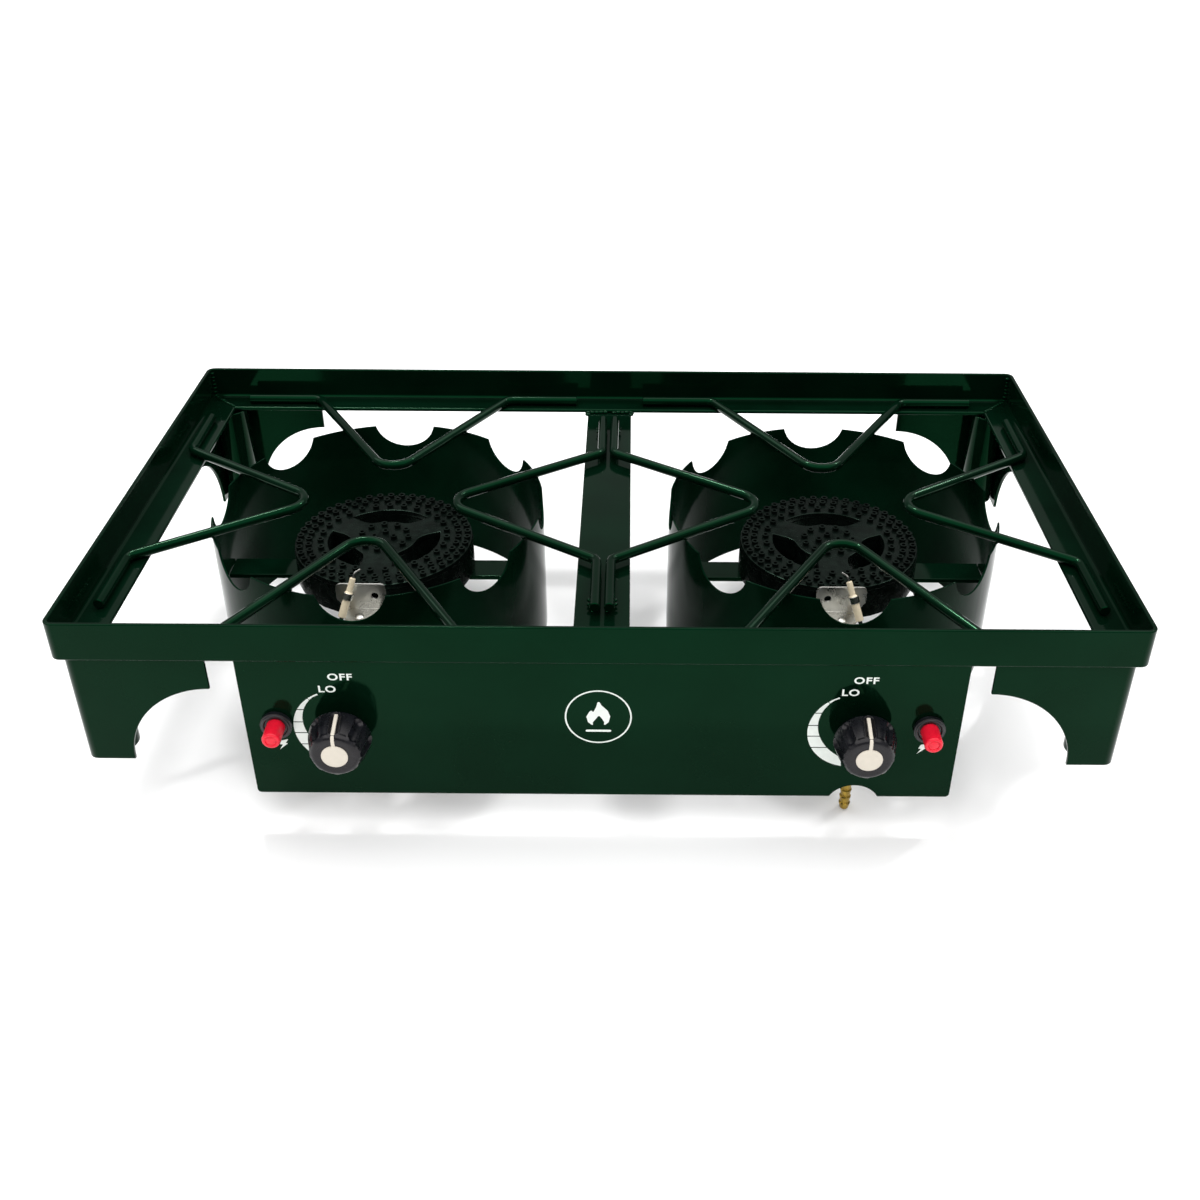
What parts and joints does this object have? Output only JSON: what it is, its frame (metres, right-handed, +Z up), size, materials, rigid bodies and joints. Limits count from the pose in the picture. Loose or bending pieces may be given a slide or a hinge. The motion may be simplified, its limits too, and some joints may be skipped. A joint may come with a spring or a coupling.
{
  "type": "camping stove",
  "caption": "Gas camping stove: cast burners inside round windshields, rod pot supports in an angle-iron frame, push-and-turn knobs and push-button igniters.",
  "frame": {"origin": "centre of the bounding box at its lowest plane, which is the tip of the hose barb", "axes": "+X to the right seen from the front, +Y to the back, +Z up"},
  "size_m": [0.75, 0.4518, 0.176],
  "materials": {
    "enamel": "glossy dark green enamel",
    "burner_iron": "fine cast, painted dark",
    "zinc": "bright zinc plate",
    "brass": "turned",
    "manifold_steel": "drawn tube",
    "knob_black": "satin phenolic",
    "pointer_cream": "smooth",
    "igniter_black": "moulded",
    "button_red": "smooth",
    "ceramic": "glazed ceramic",
    "wire_black": "silicone sleeve"
  },
  "bodies": {
    "stove": {"frame_front_rail": "enamel", "frame_back_rail": "enamel", "frame_left_rail": "enamel", "frame_right_rail": "enamel", "centre_bar": "enamel", "control_panel": "enamel", "gas_manifold": "manifold_steel", "hose_barb": "brass", "leg_bracket_front_left": "enamel", "leg_bracket_front_right": "enamel", "leg_bracket_back_left": "enamel", "leg_bracket_back_right": "enamel", "leg_socket_front_left": "enamel", "leg_socket_front_right": "enamel", "leg_socket_back_left": "enamel", "leg_socket_back_right": "enamel", "left_support_outer": "enamel", "left_support_inner": "enamel", "left_support_back": "enamel", "left_support_front": "enamel", "left_windshield": "enamel", "left_burner_cap": "burner_iron", "left_burner_body": "burner_iron", "left_burner_bar": "enamel", "left_burner_bolt": "zinc", "left_gas_valve": "brass", "left_gas_jet": "brass", "left_igniter_body": "igniter_black", "left_igniter_nut": "igniter_black", "left_electrode_bracket": "zinc", "left_bracket_screw": "zinc", "left_electrode": "ceramic", "left_ignition_wire": "wire_black", "right_support_outer": "enamel", "right_support_inner": "enamel", "right_support_back": "enamel", "right_support_front": "enamel", "right_windshield": "enamel", "right_burner_cap": "burner_iron", "right_burner_body": "burner_iron", "right_burner_bar": "enamel", "right_burner_bolt": "zinc", "right_gas_valve": "brass", "right_gas_jet": "brass", "right_igniter_body": "igniter_black", "right_igniter_nut": "igniter_black", "right_electrode_bracket": "zinc", "right_bracket_screw": "zinc", "right_electrode": "ceramic", "right_ignition_wire": "wire_black"},
    "left_knob_push": {"left_stem_washer": "zinc"},
    "left_knob": {"left_knob": "knob_black", "left_knob_pointer": "pointer_cream", "left_valve_stem": "brass"},
    "left_igniter_button": {"left_igniter_button": "button_red"},
    "right_knob_push": {"right_stem_washer": "zinc"},
    "right_knob": {"right_knob": "knob_black", "right_knob_pointer": "pointer_cream", "right_valve_stem": "brass"},
    "right_igniter_button": {"right_igniter_button": "button_red"}
  },
  "joints": [
    {"name": "left_knob_press", "type": "slide", "parent": "stove", "child": "left_knob_push", "axis": [0, 1, 0], "range_m": [0, 0.003], "stiffness_N_per_m": 1500, "springref_m": -0.002},
    {"name": "left_knob_turn", "type": "hinge", "parent": "left_knob_push", "child": "left_knob", "pos_m": [-0.1815, -0.19, 0.0888], "axis": [0, -1, 0], "range_deg": [0, 205]},
    {"name": "left_igniter_press", "type": "slide", "parent": "stove", "child": "left_igniter_button", "axis": [0, 1, 0], "range_m": [0, 0.007], "stiffness_N_per_m": 1000, "springref_m": -0.003},
    {"name": "right_knob_press", "type": "slide", "parent": "stove", "child": "right_knob_push", "axis": [0, 1, 0], "range_m": [0, 0.003], "stiffness_N_per_m": 1500, "springref_m": -0.002},
    {"name": "right_knob_turn", "type": "hinge", "parent": "right_knob_push", "child": "right_knob", "pos_m": [0.1847, -0.19, 0.0888], "axis": [0, -1, 0], "range_deg": [0, 205]},
    {"name": "right_igniter_press", "type": "slide", "parent": "stove", "child": "right_igniter_button", "axis": [0, 1, 0], "range_m": [0, 0.007], "stiffness_N_per_m": 1000, "springref_m": -0.003}
  ]
}
